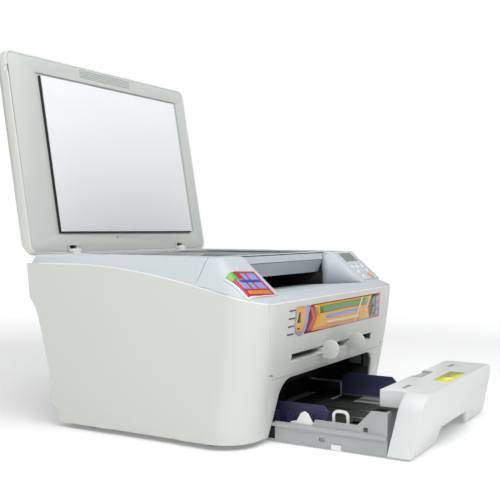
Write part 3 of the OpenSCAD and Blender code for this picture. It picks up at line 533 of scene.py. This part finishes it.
ys = [-11.0, -10.4, -9.4, -8, -6, -4, -2, 0, 2, 4, 6, 8] + steps(8, 55, 22)[1:] + [56, 57, 58, 60, 63, 67,
    SEAM_Y - 0.4]
wing_t = [0, 0.02] + steps(0.06, 0.9, 22) + [0.93, 0.96, 0.98, 1]
rows = []
for y in ys:
    ox = outer_x(y)
    left = [(-lerp(ox, 125, t), y) for t in wing_t]
    mid = [(x, y) for x in steps(-125, 125, 24)][1:-1]
    right = [(lerp(125, ox, 1 - t), y) for t in wing_t][::-1]
    row = []
    for x, yy in left + mid + right:
        z = wing_height(x, yy) if yy >= 8 or abs(x) > 125 else strip_height(yy)
        row.append((x, yy, z))
    rows.append(row)
n_wing = len(wing_t)
pts, faces = grid(rows, keep=lambda i, j: ys[j] < 7.9 or i < n_wing - 1 or i >= n_wing - 1 + 24)
piece("top_shell", pts, faces, "machine", "top_plastic", ["top_cover"], thick=2.2, bevel=0.5)

# Tray floor and the walls on either side of it.
fl = [8.0, 30, 60, 100, 150, 200, 240]
rows = [[(x, y, floor_height(y)) for x in steps(-125.2, 125.2, 20)] for y in fl]
pts, faces = grid(rows)
piece("tray_floor", pts, faces, "machine", "top_plastic", thick=2.2)
for s in (-1, 1):
    wy = [8.0] + steps(10, 57, 12) + [63, SEAM_Y - 0.4]
    rows = [[(s * 125, y, floor_height(y) - 1) for y in wy], [(s * 125, y, max(floor_height(y) - 0.9,
        wing_height(s * 125, y) - 0.05)) for y in wy]]
    pts, faces = grid(rows, flip=s > 0)
    piece("tray_wall_%s" % ("left" if s < 0 else "right"), pts, faces, "machine", "top_plastic", thick=1.6, side=1)
    # Further back, under the scanner, the walls are near-black sheets of painted shade.
    rows = [[(s * 125, y, floor_height(y) - 1) for y in (SEAM_Y - 0.4, 240)], [(s * 125, y,
        179.4) for y in (SEAM_Y - 0.4, 240)]]
    pts, faces = grid(rows, flip=s > 0)
    piece("throat_wall_%s" % ("left" if s < 0 else "right"), pts, faces, "machine", "painted_shade_black", thick=1.6, side=1)
# The throat's ceiling, rear and floor under the scanner: near-black sheets of painted shade.
THROAT_REAR = 239.0
rows = [[(x, y, 179.3) for x in steps(-124, 124, 8)] for y in (96, 160, THROAT_REAR)]
pts, faces = grid(rows, flip=True)
piece("throat_ceiling", pts, faces, "machine", "painted_shade_black", thick=0.8)
rows = [[(x, THROAT_REAR, z) for x in steps(-124, 124, 8)] for z in (153, 179)]
pts, faces = grid(rows)
piece("throat_rear", pts, faces, "machine", "painted_shade_black", thick=0.8)
rows = [[(x, y, floor_height(y) + 0.3) for x in steps(-124, 124, 8)] for y in (112, 170, THROAT_REAR)]
pts, faces = grid(rows)
piece("throat_floor", pts, faces, "machine", "painted_shade_black", thick=0.6)

# ---------------------------------------------------------------- scanner frame

GX0, GX1, GY0, GY1 = -140.9, 164.1, 81.2, 297.2


def scanner_height(x, y):
    k = (y - SEAM_Y) / (317 - SEAM_Y)
    half = 177 + 17 * k
    low = lip_height(y) - 0.9
    outer = HALF - EDGE_IN
    rim = low + (outer - abs(x)) * (TOP - low) / max(outer - half, 1)
    return smooth_min(TOP, rim, lerp(5, 2.5, k))


ys = [SEAM_Y, SEAM_Y + 0.5, 74, 78, GY0] + steps(GY0, GY1, 24)[1:] + [302, 308, 313, 316.5, 317]
cols = [-1, -0.997] + steps(-0.99, -0.86, 14) + [-0.82, -0.78, -0.74]
xl = [t * (HALF - EDGE_IN) for t in cols] + [GX0]
xr = [GX1] + [-t * (HALF - EDGE_IN) for t in cols[::-1] if -t * (HALF - EDGE_IN) > GX1 + 1]
mid = steps(GX0, GX1, 20)[1:-1]
cx = xl + mid + xr
rows = [[(x, y, scanner_height(x, y)) for x in cx] for y in ys]
i0, i1 = len(xl) - 1, len(xl) + len(mid)
pts, faces = grid(rows, keep=lambda i, j: not (i0 <= i < i1 and GY0 - 0.1 <= ys[j] < GY1 - 0.1))
piece("scanner_frame", pts, faces, "machine", "top_plastic", ["platen_frame"], thick=2.4, bevel=0.4)
rows = [[(x, SEAM_Y, z) for x in steps(-124.6, 124.6, 10)] for z in (198, 199, TOP - 0.4)]
pts, faces = grid(rows)
piece("scanner_front_strip", pts, faces, "machine", "top_plastic", thick=2.2, bevel=0.5)
for s in (-1, 1):
    zz = lambda x: scanner_height(x, SEAM_Y) - 0.3
    rows = [[(x, SEAM_Y + 0.2, 178) for x in steps(s * 125, s * 201, 24)], [(x, SEAM_Y + 0.2, max(178.5,
        zz(x))) for x in steps(s * 125, s * 201, 24)]]
    pts, faces = grid(rows, flip=s < 0)
    piece("scanner_end_%s" % ("left" if s < 0 else "right"), pts, faces, "machine", "top_plastic", thick=1.5)

# ---------------------------------------------------------------- rounded rim where the covers meet the top, in a brighter white as a painted highlight


def rim_tube(name, path, radius, body, sides=8):
    """A round bead along a path of points, in a brighter white as a painted highlight."""
    pts = []
    n = len(path)
    for k in range(n):
        a = Vector(path[max(0, k - 1)])
        b = Vector(path[min(n - 1, k + 1)])
        along = (b - a).normalized()
        across = along.cross(Vector((0, 0, 1))).normalized()
        up = across.cross(along)
        for i in range(sides):
            t = 2 * math.pi * i / sides
            p = Vector(path[k]) + radius * (math.cos(t) * across + math.sin(t) * up)
            pts.append(tuple(p))
    faces = [[k * sides + i, k * sides + (i + 1) % sides, (k + 1) * sides + (i + 1) % sides, (k + 1) * sides + i]
             for k in range(n - 1) for i in range(sides)]
    faces += [list(range(sides))[::-1], [(n - 1) * sides + i for i in range(sides)]]
    return piece(name, pts, faces, body, "painted_highlight_white")


RIM = 0.9
for s in (-1, 1):
    path = []
    for u in steps(0.03, 0.995, 70):
        z = 100.0
        for _ in range(14):
            x, y = side_path(s, u, z)
            z = lip_height(y)
        run = (FLAT, front_y(z) + CORNER)
        dx, dy = x - s * FLAT, y - run[1]
        if dy < 0:
            k = (math.hypot(dx, dy) - RIM) / math.hypot(dx, dy)
            x, y = s * FLAT + dx * k, run[1] + dy * k
        else:
            x -= s * RIM
        path.append((x, y, z - RIM * 0.55))
    rim_tube("cover_rim_%s" % ("left" if s < 0 else "right"), path, RIM, "machine")
path = [(x, front_surface(x, LIP) + RIM, LIP - RIM * 0.55) for x in steps(-177, 177, 60)]
rim_tube("front_rim", path, RIM, "front_door")

# ---------------------------------------------------------------- labels and printed marks

SKIN = 0.25


def front_patch(name, low, high, left, right, ink, lift=SKIN, rows=6, cols=14, body="front_door"):
    """A thin printed patch on the curved front: left and right give X at each height."""
    table = []
    for z in steps(low, high, rows):
        a, b = left(z), right(z)
        table.append([(x, front_surface(x, z) - lift, z) for x in steps(a, b, cols)])
    pts, faces = grid(table)
    return piece(name, pts, faces, body, ink, thick=0.12, side=-1)


def slant(x0, x1, z0, z1):
    return lambda z: lerp(x0, x1, (z - z0) / (z1 - z0))


BAND_LOW, BAND_HIGH = 119.0, 152.5
edge_left = slant(-95, -84, BAND_LOW, BAND_HIGH)
edge_right = slant(138, 131, BAND_LOW, BAND_HIGH)
front_patch("band_sheet", BAND_LOW, BAND_HIGH, edge_left, edge_right, PRINT["ink_wine"], 0.2)


def arrow(z):
    t = abs(z - 136) / 17
    return -66 - 12 * t


def inner_end(z):
    t = abs(z - 136) / 17
    return 92 + 9 * t


front_patch("band_field", BAND_LOW + 1.2, BAND_HIGH - 1.2, arrow, inner_end, PRINT["ink_yellow"], 0.4, rows=12)
front_patch("band_field_low", BAND_LOW + 1.2, BAND_LOW + 5, arrow, lambda z: inner_end(z) - 24, PRINT["ink_orange"],
    0.5)
front_patch("band_arrow", BAND_LOW + 1.2, BAND_HIGH - 1.2, lambda z: arrow(z) - 11, lambda z: arrow(z) - 3,
    PRINT["ink_red"], 0.4, rows=12)
front_patch("band_title", 141, 149, lambda z: -60 + (149 - z) * 0.3, lambda z: 88, PRINT["ink_green"], 0.55)
front_patch("band_title_shade", 140.2, 141, lambda z: -58, lambda z: 86, PRINT["ink_wine"], 0.55, rows=1)
front_patch("band_line_one", 132.5, 136.5, lambda z: -38, lambda z: 62, PRINT["ink_lilac"], 0.55, rows=2)
front_patch("band_line_two", 125, 129, lambda z: -36, lambda z: 60, PRINT["ink_cream"], 0.55, rows=2)
front_patch("band_crease", BAND_LOW + 1, BAND_HIGH - 1, lambda z: 49 + (z - 119) * 0.55,
    lambda z: 53 + (z - 119) * 0.55, PRINT["ink_cream"], 0.6)
for k, (x0, x1, z0, z1) in enumerate(((103, 113, 139, 149), (106, 116, 128, 137), (103, 111, 122, 127))):
    front_patch("band_leaf_%d" % k, z0, z1, lambda z: x0, lambda z: x1, PRINT["ink_green"], 0.4, rows=3, cols=3)
for k, (x0, x1, z0, z1) in enumerate(((117, 127, 142, 149), (119, 130, 133, 139), (119, 130, 123, 129))):
    front_patch("band_block_%d" % k, z0, z1, lambda z: x0, lambda z: x1, PRINT["ink_lilac"], 0.4, rows=3, cols=3)


def round_left(z):
    t = max(0.0, (133 - z) / 15)
    return -134 + 5 * t + 9 * t ** 6


def round_right(z):
    t = max(0.0, (133 - z) / 15)
    return -99 - 5 * t - 9 * t ** 6


front_patch("tape_pale", 118, 152.5, lambda z: round_left(z) + 12, lambda z: min(round_right(z) + 11,
    edge_left(z) + 2), PRINT["ink_lilac"], 0.3, rows=14)
front_patch("tape_tag", 122, 152, lambda z: round_left(z) + 13.5, lambda z: round_right(z) + 2, PRINT["ink_yellow"],
    0.5, rows=12)
front_patch("tape_mark", 134, 146, lambda z: -113 + (z - 134) * 0.22 - 3, lambda z: -110 - (z - 134) * 0.22 + 3,
    PRINT["ink_black"], 0.6, rows=4, cols=2)
front_patch("tape_mark_low", 126, 127.8, lambda z: -114, lambda z: -107, PRINT["ink_black"], 0.6, rows=1, cols=2)
for k in range(4):
    z = 121.5 + k * 9
    front_patch("tape_tick_%d" % k, z, z + 1.5, lambda z: -137.5, lambda z: -122.5 + (1.5 if k < 1 else 0),
        PRINT["ink_black"], 0.5, rows=1, cols=3)


def wing_patch(name, corners, ink, lift, n=16):
    """A printed patch laid on the left ramp between four corners given as X and Y."""
    (ax, ay), (bx, by), (cx_, cy), (dx, dy) = corners
    table = []
    for v in steps(0, 1, n):
        row = []
        for u in steps(0, 1, n):
            x = lerp(lerp(ax, bx, u), lerp(dx, cx_, u), v)
            y = lerp(lerp(ay, by, u), lerp(dy, cy, u), v)
            row.append((x, y, wing_height(x, y) + lift))
        table.append(row)
    pts, faces = grid(table, flip=True)
    return piece(name, pts, faces, "machine", ink, thick=0.12, side=-1)


WING = [(-189.8, 41.3), (-129, 38.1), (-130.2, 3.5), (-191.7, 7.3)]


def inside(u0, v0, u1, v1):
    def mid(u, v):
        (ax, ay), (bx, by), (cx_, cy), (dx, dy) = WING
        return (lerp(lerp(ax, bx, u), lerp(dx, cx_, u), v), lerp(lerp(ay, by, u), lerp(dy, cy, u), v))
    return [mid(u0, v0), mid(u1, v0), mid(u1, v1), mid(u0, v1)]


wing_patch("ramp_label", WING, PRINT["ink_white"], 0.75)
wing_patch("ramp_label_red", inside(0.05, 0.05, 0.95, 0.92), PRINT["ink_red"], 0.95)
wing_patch("ramp_label_leaf", inside(0.04, 0.04, 0.24, 0.3), PRINT["ink_leaf"], 1.1)
for k, (u0, u1) in enumerate(((0.14, 0.36), (0.42, 0.56), (0.62, 0.88))):
    wing_patch("ramp_label_block_%d" % k, inside(u0, 0.12 if k else 0.32, u1, 0.68), PRINT["ink_lilac"], 1.15, n=8)
wing_patch("ramp_label_line", inside(0.2, 0.36, 0.86, 0.46), PRINT["ink_blue"], 1.3, n=8)
wing_patch("ramp_label_strip", inside(0.16, 0.74, 0.9, 0.86), PRINT["ink_orange"], 1.15, n=10)

# ---------------------------------------------------------------- cassette marks


def flat_mark(name, x0, x1, y0, y1, z, body, ink, radius=0.0, lift=0.15):
    """A thin printed or moulded mark on a level face, with rounded corners."""
    pts = []
    for cx_, cy, a0 in ((x1, y1, 0), (x0, y1, 90), (x0, y0, 180), (x1, y0, 270)):
        sx = -1 if cx_ == x1 else 1
        sy = -1 if cy == y1 else 1
        for k in range(5):
            a = math.radians(a0 + 22.5 * k)
            pts.append((cx_ + sx * radius + radius * math.cos(a), cy + sy * radius + radius * math.sin(a), z + lift))
    return piece(name, pts, [list(range(len(pts)))], body, ink, thick=0.12, side=-1)


flat_mark("block_label", -35, 35, -162, -143, 68.0, "cassette", PRINT["ink_lemon"], 0.8)
for k, (x0, x1, y0, y1) in enumerate(((-6, 2, -157, -149), (6, 24, -151, -149), (6, 20, -156, -154))):
    flat_mark("block_label_mark_%d" % k, x0, x1, y0, y1, 68.1, "cassette", PRINT["ink_grey"], 0.3)
for k, x in enumerate((-97, 66)):
    flat_mark("block_mark_%d" % k, x, x + 22, -134, -129, 68.0, "cassette", PRINT["ink_grey"], 0.5)

# ---------------------------------------------------------------- near-black sheets of painted shade in the cassette bay and at the tray's rear

BAY_X, BAY_TOP, BAY_FRONT, BAY_REAR = 141.0, 73.4, 17.0, 264.6
for s in (-1, 1):
    rows = [[(s * BAY_X, y, z) for y in steps(BAY_FRONT, BAY_REAR, 8)] for z in (7, 40, BAY_TOP)]
    pts, faces = grid(rows, flip=s < 0)
    piece("bay_shade_sheet_%s" % ("left" if s < 0 else "right"), pts, faces, "machine", "painted_shade_black", thick=0.8)
rows = [[(x, BAY_REAR, z) for x in steps(-BAY_X, BAY_X, 8)] for z in (7, 40, BAY_TOP)]
pts, faces = grid(rows)
piece("bay_shade_sheet_rear", pts, faces, "machine", "painted_shade_black", thick=0.8)
rows = [[(x, y, BAY_TOP) for x in steps(-BAY_X, BAY_X, 8)] for y in (BAY_FRONT, 120, BAY_REAR)]
pts, faces = grid(rows)
piece("bay_shade_sheet_top", pts, faces, "machine", "painted_shade_black", thick=0.8)

# Painted shade: near-black sheets on the inner faces at the rear of the cassette and its extension, where the bay is
# in shade.
def wall_sheet(name, corners, body, slot, thick=0.15, flip=False):
    pts, faces = grid([corners[:2], corners[3:1:-1]], flip=flip)
    return piece(name, pts, faces, body, slot, thick=thick, side=0)


wall_sheet("tub_shade_floor", [(-136, 12, 4.15), (136, 12, 4.15), (136, 92, 4.15), (-136, 92, 4.15)], "cassette",
    "painted_shade_black")
for s in (-1, 1):
    wall_sheet("tub_shade_%s" % ("left" if s < 0 else "right"),
               [(s * 136.2, 6, 4.3), (s * 136.2, 93, 4.3), (s * 136.2, 93, 47.6), (s * 136.2, 6, 47.6)], "cassette",
                   "painted_shade_black")
    wall_sheet("extension_shade_%s" % ("left" if s < 0 else "right"),
               [(s * 24, 90.2, 6.7), (s * 119.2, 90.2, 6.7), (s * 119.2, 90.2, 30.2), (s * 24, 90.2, 30.2)],
                   "extension", "painted_shade_black")
    wall_sheet("extension_side_shade_%s" % ("left" if s < 0 else "right"),
               [(s * 119.2, 41, 6.7), (s * 119.2, 90, 6.7), (s * 119.2, 90, 24.2), (s * 119.2, 41, 24.2)],
                   "extension", "painted_shade_black")
wall_sheet("extension_box_shade", [(-22, 76.7, 6.7), (22, 76.7, 6.7), (22, 76.7, 34.2), (-22, 76.7, 34.2)],
    "extension", "painted_shade_black")
wall_sheet("extension_floor_shade", [(-119, 41, 6.6), (119, 41, 6.6), (119, 76.5, 6.6), (-119, 76.5, 6.6)],
    "extension", "painted_shade_black")
for k, x in enumerate((-60, -20, 20, 60)):
    wall_sheet("plate_ridge_%d" % k, [(x - 1.1, -97, 11.15), (x + 1.1, -97, 11.15), (x + 1.1, 21, 11.15), (x - 1.1,
        21, 11.15)], "lifter", "steel")
wall_sheet("bay_end_strip", [(139.9, 18, 50), (139.9, 36, 50), (139.9, 36, 70), (139.9, 18, 70)], "machine",
    "scanner_plastic")

# ---------------------------------------------------------------- CAD nodes shown as they are

HIDDEN = {"left_cover", "right_cover", "front_cover", "top_cover", "platen_frame"}
SOFT = {"front_bezel": 0.3, "rear_cover": 0.8, "lid_cover": 0.8, "lid_panel": 0.5, "cassette_front": 1.0,
        "cassette_tub": 0.5, "white_pad": 0.2, "pad_foam": 0.3, "platen_glass": 0.3}
for n in nodes:
    if n not in HIDDEN:
        finish_node(n, SOFT.get(n, 0.35))

# ---------------------------------------------------------------- stage and light


def stage():
    s = 6.0
    me = bpy.data.meshes.new("floor")
    pts = [(-s, -s, 0), (s, -s, 0), (s, s, 0), (-s, s, 0)]
    me.from_pydata(pts, [], [[0, 1, 2, 3]])
    o = bpy.data.objects.new("floor", me)
    bpy.context.scene.collection.objects.link(o)
    m = bpy.data.materials.new("floor_paper")
    m.use_nodes = True
    b = m.node_tree.nodes["Principled BSDF"]
    b.inputs["Base Color"].default_value = (0.9, 0.9, 0.9, 1)
    b.inputs["Roughness"].default_value = 0.9
    b.inputs["Specular IOR Level"].default_value = 0.0
    b.inputs["Emission Color"].default_value = (1, 1, 1, 1)
    place = m.node_tree.nodes.new("ShaderNodeTexCoord")
    far = m.node_tree.nodes.new("ShaderNodeVectorMath")
    far.operation = "LENGTH"
    glow = m.node_tree.nodes.new("ShaderNodeMapRange")
    glow.inputs["From Min"].default_value = 0.8
    glow.inputs["From Max"].default_value = 2.4
    glow.inputs["To Min"].default_value = 0.22
    glow.inputs["To Max"].default_value = 1.0
    m.node_tree.links.new(place.outputs["Object"], far.inputs[0])
    m.node_tree.links.new(far.outputs["Value"], glow.inputs["Value"])
    m.node_tree.links.new(glow.outputs["Result"], b.inputs["Emission Strength"])
    me.materials.append(m)


def area(name, place, target, size, power, colour=(1, 1, 1)):
    d = bpy.data.lights.new(name, "AREA")
    d.shape = "RECTANGLE"
    d.size, d.size_y = size
    d.energy = power
    d.color = colour
    o = bpy.data.objects.new(name, d)
    bpy.context.scene.collection.objects.link(o)
    o.location = place
    o.rotation_euler = (Vector(target) - Vector(place)).to_track_quat("-Z", "Y").to_euler()


stage()
area("key_light", (-0.8, -2.0, 2.2), (0, 0, 0.2), (1.6, 1.0), 23)
area("side_light", (-2.4, -0.4, 1.3), (0, 0, 0.15), (1.6, 1.2), 5.2)
area("top_light", (0.1, -0.3, 2.4), (0, 0, 0.1), (1.8, 1.8), 24)
area("near_light", (-0.75, -0.3, 0.95), (0, -0.25, 0.06), (0.4, 0.4), 2.4)

world = bpy.data.worlds.new("studio")
bpy.context.scene.world = world
world.use_nodes = True
bg = world.node_tree.nodes["Background"]
bg.inputs["Color"].default_value = (0.97, 0.985, 1, 1)
bg.inputs["Strength"].default_value = 0.26
plain = world.node_tree.nodes.new("ShaderNodeBackground")
plain.inputs["Color"].default_value = (1, 1, 1, 1)
plain.inputs["Strength"].default_value = 1.0
seen = world.node_tree.nodes.new("ShaderNodeLightPath")
blend = world.node_tree.nodes.new("ShaderNodeMixShader")
links = world.node_tree.links
links.new(seen.outputs["Is Camera Ray"], blend.inputs["Fac"])
links.new(bg.outputs[0], blend.inputs[1])
links.new(plain.outputs[0], blend.inputs[2])
links.new(blend.outputs[0], world.node_tree.nodes["World Output"].inputs["Surface"])

cam_data = bpy.data.cameras.new("camera")
cam_data.lens = 59.86
cam_data.sensor_width = 36
cam = bpy.data.objects.new("camera", cam_data)
bpy.context.scene.collection.objects.link(cam)
cam.location = (-0.95543, -0.44413 + SHIFT / 1000, 0.24025)
heading, pitch = math.radians(59.49), math.radians(-1.407)
aim = Vector((math.sin(heading) * math.cos(pitch), math.cos(heading) * math.cos(pitch), math.sin(pitch)))
cam.rotation_euler = aim.to_track_quat("-Z", "Y").to_euler()
bpy.context.scene.camera = cam
bpy.context.scene.view_settings.view_transform = "Standard"
